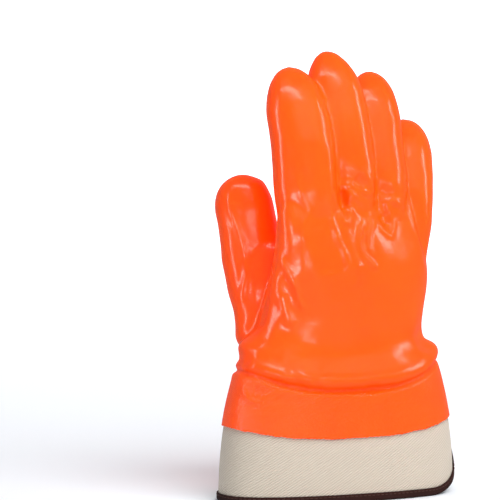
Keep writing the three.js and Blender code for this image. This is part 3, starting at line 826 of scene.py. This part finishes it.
# %% Attributes of the coat
SKIRT_FADE = 2.0
points = vertex_places(coat.data)
turn = cuff_turn(points[:, 0], points[:, 1], points[:, 2])
seam = hanging(SEAM_HEIGHT, SEAM_DROP, turn)
on_skirt = np.clip((seam - points[:, 2]) / SKIRT_FADE, 0, 1)
attribute = coat.data.attributes.new("on_skirt", "FLOAT", "POINT")
attribute.data.foreach_set("value", on_skirt.astype(np.float32))
cuff_place = np.stack([length_at(turn), points[:, 2], np.zeros(len(points))], -1)
attribute = coat.data.attributes.new("cuff_place", "FLOAT_VECTOR", "POINT")
attribute.data.foreach_set("vector", cuff_place.astype(np.float32).ravel())
print("points on the skirt:", int((on_skirt > 0).sum()))


# %% [markdown]
# ## Materials
# Pictures could be laid on the pieces, but noise, waves and plain values stay sharp at every
# distance and carry no photo. Each pattern has its real size in millimetres.

# %% Node tools
def linear(code):
    """A scene-linear colour from an sRGB hex code."""
    values = [int(code[i:i + 2], 16) / 255 for i in (1, 3, 5)]
    return (*(v / 12.92 if v <= 0.04045 else ((v + 0.055) / 1.055) ** 2.4 for v in values), 1.0)


def per(millimetres):
    """The scale of a pattern whose forms have this size."""
    return 1 / (millimetres * MM)


def add_node(tree, kind, inputs=(), **settings):
    """A node with its settings. Its inputs are named, or in a row from the first, and each gets
    a value, a socket, or a node, which stands for the first of its outputs in use."""
    node = tree.nodes.new(kind)
    for name, value in settings.items():
        setattr(node, name, value)
    for place, value in inputs.items() if isinstance(inputs, dict) else enumerate(inputs):
        if isinstance(value, bpy.types.Node):
            value = next(socket for socket in value.outputs if socket.enabled)
        if isinstance(value, bpy.types.NodeSocket):
            tree.links.new(value, node.inputs[place])
        else:
            node.inputs[place].default_value = value
    return node


def new_material(name):
    """A material with an empty node tree, and that tree."""
    material = bpy.data.materials.new(name)
    material.use_nodes = True
    material.node_tree.nodes.clear()
    return material, material.node_tree


def finish_material(tree, inputs):
    """Ends a tree in one shader with these inputs."""
    shader = add_node(tree, "ShaderNodeBsdfPrincipled", inputs)
    add_node(tree, "ShaderNodeOutputMaterial", {"Surface": shader})


# %% [markdown]
# ### Waves and twill
# Ribs, yarns and twill are all even ridges of thread, so one sine wave with a real pitch makes
# each of them. The twill's lies aslant, and shows on the canvas and through the thin coat.

# %% Waves and twill
TWILL_PITCH, TWILL_RISE = 1.4, math.radians(32)


def waves(tree, place, pitch):
    """Even waves from 0 to 1, over a place in mm."""
    turn = add_node(tree, "ShaderNodeMath", (place, 2 * math.pi / pitch), operation="MULTIPLY")
    sine = add_node(tree, "ShaderNodeMath", (turn,), operation="SINE")
    return add_node(tree, "ShaderNodeMath", (sine, 0.5, 0.5), operation="MULTIPLY_ADD")


def twill_ridges(tree, along, up):
    """Ridges from 0 to 1, which rise to the right over the cloth. Real twill is finer, and this
    is about the finest pitch that shows in the picture."""
    rise = add_node(tree, "ShaderNodeMath", (up, math.cos(TWILL_RISE)), operation="MULTIPLY")
    walk = add_node(tree, "ShaderNodeMath", (along, math.sin(TWILL_RISE)), operation="MULTIPLY")
    across = add_node(tree, "ShaderNodeMath", (rise, walk), operation="SUBTRACT")
    return waves(tree, across, TWILL_PITCH)


# %% [markdown]
# ### Fluorescent PVC
# PVC plastisol, dipped and gelled in an oven: smooth and glossy on the hand, and pebbled by the
# weave below it on the cuff. Its pigment gives back more red than it gets, which paint alone
# can't do, so a faint even red glow stands for that. The glow is painted light: it is as strong
# in shade as in light, and keeps the shaded places deep red. Light goes a little way into the
# skin.

# %% PVC coat
# In mm: slow clouds of colour, pebbles over the weave, and soft waves in the whole skin.
CLOUD, PEBBLE, SOFT_WAVE = 50, 4 / 3, 20 / 7
coat_material, tree = new_material("pvc_dip_fluorescent_orange")
spot = add_node(tree, "ShaderNodeTexCoord").outputs["Object"]
skirt = add_node(tree, "ShaderNodeAttribute", attribute_name="on_skirt").outputs["Fac"]
place = add_node(tree, "ShaderNodeAttribute", attribute_name="cuff_place").outputs["Vector"]
split = add_node(tree, "ShaderNodeSeparateXYZ", (place,)).outputs
clouds = add_node(tree, "ShaderNodeTexNoise", {"Vector": spot, "Scale": per(CLOUD)})
colour = add_node(tree, "ShaderNodeMix", {
    "Factor": clouds, "A": linear("#FF4E03"), "B": linear("#FF6107")}, data_type="RGBA")

pebbles = add_node(tree, "ShaderNodeTexNoise", {"Vector": spot, "Scale": per(PEBBLE)})
ridges = twill_ridges(tree, split["X"], split["Y"])
ridges = add_node(tree, "ShaderNodeMath", (ridges, 0.3), operation="MULTIPLY")
grain = add_node(tree, "ShaderNodeMath", (pebbles, 1.5, ridges), operation="MULTIPLY_ADD")
soft = add_node(tree, "ShaderNodeTexNoise", {
    "Vector": spot, "Scale": per(SOFT_WAVE), "Detail": 1.0})
soft = add_node(tree, "ShaderNodeMath", (soft, 0.35), operation="MULTIPLY")
height = add_node(tree, "ShaderNodeMath", (grain, skirt, soft), operation="MULTIPLY_ADD")
finish_material(tree, {
    "Base Color": colour,
    # Painted light: an even red glow from the skin itself, which also fills the shade with red.
    "Emission Color": linear("#FF2008"),
    "Emission Strength": 0.24,
    "Subsurface Weight": 0.25,
    "Subsurface Radius": (1.0, 0.25, 0.1),
    "Subsurface Scale": 3.0 * MM,
    "IOR": 1.5,
    "Roughness": add_node(tree, "ShaderNodeMath", (skirt, 0.03, 0.20), operation="MULTIPLY_ADD"),
    "Normal": add_node(tree, "ShaderNodeBump", {"Height": height, "Distance": 0.22 * MM}),
})
coat.data.materials.append(coat_material)
print("dressed:", coat.name, "in", coat_material.name)


# %% [markdown]
# ### Soaked backing
# Cotton knit, soaked from behind by the dip: dull, brownish and lumpy. Its loops would be too
# fine to model, and only a narrow view shows them, so they are a bump.

# %% Backing cloth
# In mm: the knit's loops, which cotton backing has about this large.
LOOP = 10 / 9
backing_material, tree = new_material("knit_backing_soaked_with_pvc")
spot = add_node(tree, "ShaderNodeTexCoord").outputs["Object"]
loops = add_node(tree, "ShaderNodeTexNoise", {"Vector": spot, "Scale": per(LOOP), "Detail": 1.0})
finish_material(tree, {
    "Base Color": add_node(tree, "ShaderNodeMix", {
        "Factor": loops, "A": linear("#B98A68"), "B": linear("#D9B28E")}, data_type="RGBA"),
    "Roughness": 0.9,
    "Normal": add_node(tree, "ShaderNodeBump", {"Height": loops, "Distance": 0.3 * MM}),
})
backing.data.materials.append(backing_material)
print("dressed:", backing.name, "in", backing_material.name)


# %% [markdown]
# ### Canvas
# Unbleached cotton twill, stiffened: diagonal ridges, single yarns across them, fuzz, and slow
# stains. It follows the cloth's own UV map, because its threads turn with the cuff.

# %% Canvas cloth
# In mm: single yarns, tufts of fuzz, and stains.
YARN, FUZZ, STAIN = 0.7, 5 / 7, 100 / 3
canvas_material, tree = new_material("cotton_twill_canvas_stiffened")
spot = add_node(tree, "ShaderNodeTexCoord").outputs["Object"]
uv = add_node(tree, "ShaderNodeUVMap", uv_map="weave")
split = add_node(tree, "ShaderNodeSeparateXYZ", (uv,)).outputs
ridges = twill_ridges(tree, split["X"], split["Y"])
yarns = waves(tree, split["X"], YARN)
fuzz = add_node(tree, "ShaderNodeTexNoise", {
    "Vector": spot, "Scale": per(FUZZ), "Detail": 3.0, "Roughness": 0.7})
cloth = add_node(tree, "ShaderNodeMath", (yarns, 0.25, ridges), operation="MULTIPLY_ADD")
cloth = add_node(tree, "ShaderNodeMath", (fuzz, 0.5, cloth), operation="MULTIPLY_ADD")
shade = add_node(tree, "ShaderNodeMath", (cloth, 0.6, -0.05), operation="MULTIPLY_ADD",
                 use_clamp=True)
colour = add_node(tree, "ShaderNodeMix", {
    "Factor": shade, "A": linear("#B4A795"), "B": linear("#DFD4C5")}, data_type="RGBA")
stains = add_node(tree, "ShaderNodeTexNoise", {
    "Vector": spot, "Scale": per(STAIN), "Detail": 3.0})
stains = add_node(tree, "ShaderNodeMath", (stains, 0.35), operation="MULTIPLY")
finish_material(tree, {
    "Base Color": add_node(tree, "ShaderNodeMix", {
        "Factor": stains, "A": colour, "B": linear("#D6C8B6")}, data_type="RGBA"),
    "Roughness": 0.92,
    "Sheen Weight": 0.15,
    "Normal": add_node(tree, "ShaderNodeBump", {"Height": cloth, "Distance": 0.22 * MM}),
})
canvas.data.materials.append(canvas_material)
print("dressed:", canvas.name, "in", canvas_material.name)


# %% [markdown]
# ### Tape
# Woven polyester grosgrain tape, dark brown and dull, with fine ribs along it.

# %% Tape cloth
# In mm: the tape's ribs, and tufts of fuzz.
RIB, TAPE_FUZZ = 0.55, 5 / 8
tape_material, tree = new_material("grosgrain_tape_dark_brown")
spot = add_node(tree, "ShaderNodeTexCoord").outputs["Object"]
uv = add_node(tree, "ShaderNodeUVMap", uv_map="weave")
split = add_node(tree, "ShaderNodeSeparateXYZ", (uv,)).outputs
ribs = waves(tree, split["Y"], RIB)
ribs = add_node(tree, "ShaderNodeMath", (ribs, 0.5), operation="MULTIPLY")
fuzz = add_node(tree, "ShaderNodeTexNoise", {
    "Vector": spot, "Scale": per(TAPE_FUZZ), "Detail": 3.0, "Roughness": 0.7})
cloth = add_node(tree, "ShaderNodeMath", (fuzz, 0.6, ribs), operation="MULTIPLY_ADD")
finish_material(tree, {
    "Base Color": add_node(tree, "ShaderNodeMix", {
        "Factor": cloth, "A": linear("#241110"), "B": linear("#3E211B")}, data_type="RGBA"),
    "Roughness": 0.85,
    "Specular IOR Level": 0.25,
    "Normal": add_node(tree, "ShaderNodeBump", {"Height": cloth, "Distance": 0.2 * MM}),
})
tape.data.materials.append(tape_material)
print("dressed:", tape.name, "in", tape_material.name)


# %% [markdown]
# ### Thread
# Spun polyester thread: brown on the tape, and mixed with tan at the tack. Its twist is finer
# than a pixel, so only its uneven colour is made.

# %% Thread
def thread_material(name, patch, dark, light):
    """Thread with patches of two colours, whose size is in mm."""
    material, tree = new_material(name)
    spot = add_node(tree, "ShaderNodeTexCoord").outputs["Object"]
    uneven = add_node(tree, "ShaderNodeTexNoise", {"Vector": spot, "Scale": per(patch)})
    finish_material(tree, {
        "Base Color": add_node(tree, "ShaderNodeMix", {
            "Factor": uneven, "A": linear(dark), "B": linear(light)}, data_type="RGBA"),
        "Roughness": 0.7,
    })
    print("thread:", name)
    return material


brown_thread = thread_material("spun_polyester_thread_brown", 0.4, "#2E1A17", "#5E382C")
tan_thread = thread_material("spun_polyester_thread_tan", 1.25, "#3A231E", "#B08C72")


# %% [markdown]
# ## Stitches
# A row of lockstitches holds the tape, and a tack closes the foot of the slit's upper part.
# Modelling each by hand would be slow, so a small node group lays threads along a line.

# %% Stitch group
STITCH_INPUTS = {"Spacing": "NodeSocketFloat", "Length": "NodeSocketFloat",
                 "Thickness": "NodeSocketFloat", "Seed": "NodeSocketInt",
                 "Thread": "NodeSocketMaterial"}
UNEVEN_LENGTH = (0.9, 1.08)


def stitch_group():
    """A tree that turns a line into rows of small long balls, like threads seen end to end."""
    group = bpy.data.node_groups.new("lay_stitches", "GeometryNodeTree")
    face = group.interface
    face.new_socket("Geometry", in_out="INPUT", socket_type="NodeSocketGeometry")
    for name, kind in STITCH_INPUTS.items():
        face.new_socket(name, in_out="INPUT", socket_type=kind)
    face.new_socket("Geometry", in_out="OUTPUT", socket_type="NodeSocketGeometry")
    start = add_node(group, "NodeGroupInput").outputs
    curve = add_node(group, "GeometryNodeMeshToCurve", {"Mesh": start["Geometry"]})
    even = add_node(group, "GeometryNodeResampleCurve", {
        "Curve": curve, "Length": start["Spacing"]}, mode="LENGTH")
    ball = add_node(group, "GeometryNodeMeshUVSphere", {"Segments": 8, "Rings": 6, "Radius": 0.5})
    tangent = add_node(group, "GeometryNodeInputTangent")
    turned = add_node(group, "FunctionNodeAlignRotationToVector", {"Vector": tangent}, axis="Z")
    uneven = add_node(group, "FunctionNodeRandomValue", {
        "Min": UNEVEN_LENGTH[0], "Max": UNEVEN_LENGTH[1], "Seed": start["Seed"]},
        data_type="FLOAT")
    long = add_node(group, "ShaderNodeMath", (start["Length"], uneven), operation="MULTIPLY")
    size = add_node(group, "ShaderNodeCombineXYZ", (start["Thickness"], start["Thickness"], long))
    laid = add_node(group, "GeometryNodeInstanceOnPoints", {
        "Points": even, "Instance": ball, "Rotation": turned, "Scale": size})
    real = add_node(group, "GeometryNodeRealizeInstances", {"Geometry": laid})
    smooth = add_node(group, "GeometryNodeSetShadeSmooth", {"Geometry": real})
    painted = add_node(group, "GeometryNodeSetMaterial", {
        "Geometry": smooth, "Material": start["Thread"]})
    add_node(group, "NodeGroupOutput", {"Geometry": painted})
    return group


STITCHES = stitch_group()
print("stitch group:", len(STITCHES.nodes), "nodes")


# %% [markdown]
# ### Sewing
# The rows run a little in from the tape's inner edge, on both sides of the cuff. The tack is a
# zigzag over the slit, just above the rounded corners.

# %% Rows and tack
def stitched(name, line, spacing, length, thickness, seed, thread):
    """One piece of stitches along a line of points in mm."""
    mesh = bpy.data.meshes.new(name)
    mesh.from_pydata((line * MM).tolist(), [(i, i + 1) for i in range(len(line) - 1)], [])
    made = placed(name, mesh)
    modifier = made.modifiers.new("stitches", "NODES")
    modifier.node_group = STITCHES
    values = {"Spacing": spacing * MM, "Length": length * MM, "Thickness": thickness * MM,
              "Seed": seed, "Thread": thread}
    for item in STITCHES.interface.items_tree:
        if item.in_out == "INPUT" and item.name in values:
            modifier[item.identifier] = values[item.name]
    baked(made)
    print(name + ":", triangles(made), "triangles")
    return made


STITCH_INSET = TAPE_WIDTH - 1.3
ABOVE_TAPE, ABOVE_TACK = 0.02, 0.15
rows = []
for name, side, seed in (("tape_stitches_outside", 1, 7), ("tape_stitches_inside", -1, 8)):
    turn = turn_at(path[:, 0] + path[:, 2] * STITCH_INSET)
    line = cuff_point(turn, path[:, 1] + path[:, 3] * STITCH_INSET,
                      side * (TAPE_SKIN + ABOVE_TAPE))
    rows.append(stitched(name, line, spacing=2.9, length=2.3, thickness=0.45, seed=seed,
                         thread=brown_thread))

TACK_HEIGHT, TACK_WIDTH, TACK_TURNS, TACK_ABOVE_CORNER = 4.0, 7.0, 9, 1.0
steps = np.arange(2 * TACK_TURNS + 1)
tack_length = np.where(steps % 2 == 0, -0.5, 0.5) * TACK_WIDTH
tack_z = CORNER_RADIUS + TACK_ABOVE_CORNER + TACK_HEIGHT * steps / steps[-1]
zigzag = cuff_point(turn_at(tack_length), tack_z, TAPE_SKIN + ABOVE_TACK)
tack = stitched("slit_tack", zigzag, spacing=0.9, length=1.3, thickness=0.42, seed=9,
                thread=tan_thread)


# %% [markdown]
# ## Riding on the CAD body
# Every piece rides on the model's one body. Three of them stand for the CAD nodes, which are
# hidden, and the stitches and the coat's inside are added to those.

# %% Riding on the CAD body
RIDERS = [(coat, "coat", "pvc_coat"), (canvas, "canvas", "cuff_canvas"),
          (tape, "binding", "cuff_binding"), (backing, "coat", None)]
RIDERS += [(stitches, "binding", None) for stitches in rows + [tack]]
for piece, slot, node in RIDERS:
    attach(piece, "root")
    if node:
        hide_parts(node)
print("pieces:", len(RIDERS))


# %% [markdown]
# ## Studio
# The glove stands on pale paper that sweeps up behind it. The paper glows more the further back
# it is, which a lamp behind it would do in a real studio, and it isn't mirrored in the coat.

# %% Floor and backdrop
SWEEP_RADIUS, FLOOR_BEHIND, FLOOR_BEFORE, HALF_WIDE, WALL_TOP = 0.8, 1.6, -3.0, 4.0, 3.5
SWEEP_STEPS = 24
GLOW_PER_METRE, GLOW_RISE = 0.36, 0.5


def studio_floor():
    """A floor with a rounded rise behind, seen from the camera's side, in metres."""
    profile = [(FLOOR_BEFORE, 0.0), (FLOOR_BEHIND, 0.0)]
    for bend in np.linspace(0, np.pi / 2, SWEEP_STEPS)[1:]:
        profile.append((FLOOR_BEHIND + SWEEP_RADIUS * math.sin(bend),
                        SWEEP_RADIUS * (1 - math.cos(bend))))
    profile.append((FLOOR_BEHIND + SWEEP_RADIUS, WALL_TOP))
    away = np.array([-VIEW_BACK[0], -VIEW_BACK[1], 0])
    away /= np.linalg.norm(away)
    points = np.array([[away * depth + VIEW_RIGHT * side + np.array([0, 0, up])
                        for side in (-HALF_WIDE, HALF_WIDE)] for depth, up in profile]) / MM
    blank = np.zeros(points.shape[:2])
    return grid_object("studio_floor", points, blank, blank)


floor = studio_floor()
shade_smooth(floor)
floor_material, tree = new_material("matte_white_paper")
spot = add_node(tree, "ShaderNodeTexCoord").outputs["Object"]
behind = add_node(tree, "ShaderNodeVectorMath", (
    spot, (-VIEW_BACK[0], -VIEW_BACK[1], GLOW_RISE)), operation="DOT_PRODUCT")
glow = add_node(tree, "ShaderNodeMath", (behind, GLOW_PER_METRE), operation="MULTIPLY",
                use_clamp=True)
finish_material(tree, {
    "Base Color": linear("#F3F6FA"),
    "Roughness": 0.9,
    "Specular IOR Level": 0.2,
    "Emission Color": (1.0, 1.0, 1.0, 1.0),
    "Emission Strength": glow,
})
floor.data.materials.append(floor_material)
floor.visible_glossy = False

world = bpy.data.worlds.new("studio")
world.use_nodes = True
bpy.context.scene.world = world
background = world.node_tree.nodes["Background"]
background.inputs["Color"].default_value = (0.93, 0.96, 1.0, 1.0)
background.inputs["Strength"].default_value = 0.24
print("floor:", triangles(floor), "triangles")


# %% [markdown]
# ### Lights
# One large soft light from the upper right lights the glove. It would leave a broad pale patch
# on so glossy a skin, so it isn't mirrored. Five narrow lights do the reverse: they are only
# mirrored, and give the long thin glints on the fingers and the short ones on the folds.

# %% Lights
AIM = Vector((0, 0, 0.136))
# Places are in degrees to the right of the traced view and up, sizes in metres.
LIGHTS = [
    {"name": "strip_left", "beside": -62, "rise": 12, "away": 0.9, "size": (0.08, 0.9),
     "watts": 2.2},
    {"name": "strip_right", "beside": 82, "rise": 27, "away": 0.9, "size": (0.06, 0.50),
     "watts": 1.2},
    {"name": "low_left", "beside": -22, "rise": -2, "away": 1.3, "size": (0.30, 0.12),
     "watts": 1.6},
    {"name": "low_front", "beside": 16, "rise": 0.5, "away": 1.3, "size": (0.60, 0.05),
     "watts": 0.9},
    {"name": "high_strip", "beside": -14, "rise": 64, "away": 1.1, "size": (0.9, 0.10),
     "watts": 2.6},
    {"name": "front_top", "beside": 30, "rise": 46, "away": 1.5, "size": (1.4, 1.2),
     "watts": 29, "lighting": True},
]


def soft_light(name, beside, rise, away, size, watts, lighting=False):
    """A rectangle of light that faces the glove. It either lights things or is mirrored."""
    data = bpy.data.lights.new(name, "AREA")
    data.shape, (data.size, data.size_y), data.energy = "RECTANGLE", size, watts
    made = placed(name, data)
    back = Vector(way_back(TRACED_AZIMUTH + beside, rise))
    made.location = AIM + back * away
    made.rotation_mode = "QUATERNION"
    made.rotation_quaternion = back.to_track_quat("Z", "Y")
    made.visible_diffuse = lighting
    made.visible_glossy = not lighting


for light in LIGHTS:
    soft_light(**light)
print("lights:", len(LIGHTS), "of", round(sum(light["watts"] for light in LIGHTS), 1), "W in all")


# %% [markdown]
# ### Camera
# The camera stands far off with a long lens, as for a catalogue, so that the glove's sides stay
# nearly parallel. It is moved sideways and up without turning, which puts the glove in the right
# half of the picture, as in the photo.

# %% Camera
CAMERA_AZIMUTH, CAMERA_RISE = -22.6, 4.1
CAMERA_AWAY, PICTURE_WIDTH = 2.0, 0.3067
MOVED_LEFT, MOVED_UP = 0.0497, 0.0141

camera = placed("camera", bpy.data.cameras.new("camera"))
back, right = Vector(way_back(CAMERA_AZIMUTH, CAMERA_RISE)), Vector(way_right(CAMERA_AZIMUTH))
camera.location = (AIM + back * CAMERA_AWAY - right * MOVED_LEFT
                   + back.cross(right) * MOVED_UP)
camera.rotation_mode = "QUATERNION"
camera.rotation_quaternion = back.to_track_quat("Z", "Y")
camera.data.lens = camera.data.sensor_width * CAMERA_AWAY / PICTURE_WIDTH
camera.data.clip_start, camera.data.clip_end = 0.1, 20
bpy.context.scene.camera = camera
bpy.context.scene.view_settings.view_transform = "Standard"
bpy.context.scene.view_settings.look = "None"
print("lens, mm:", round(camera.data.lens, 1))
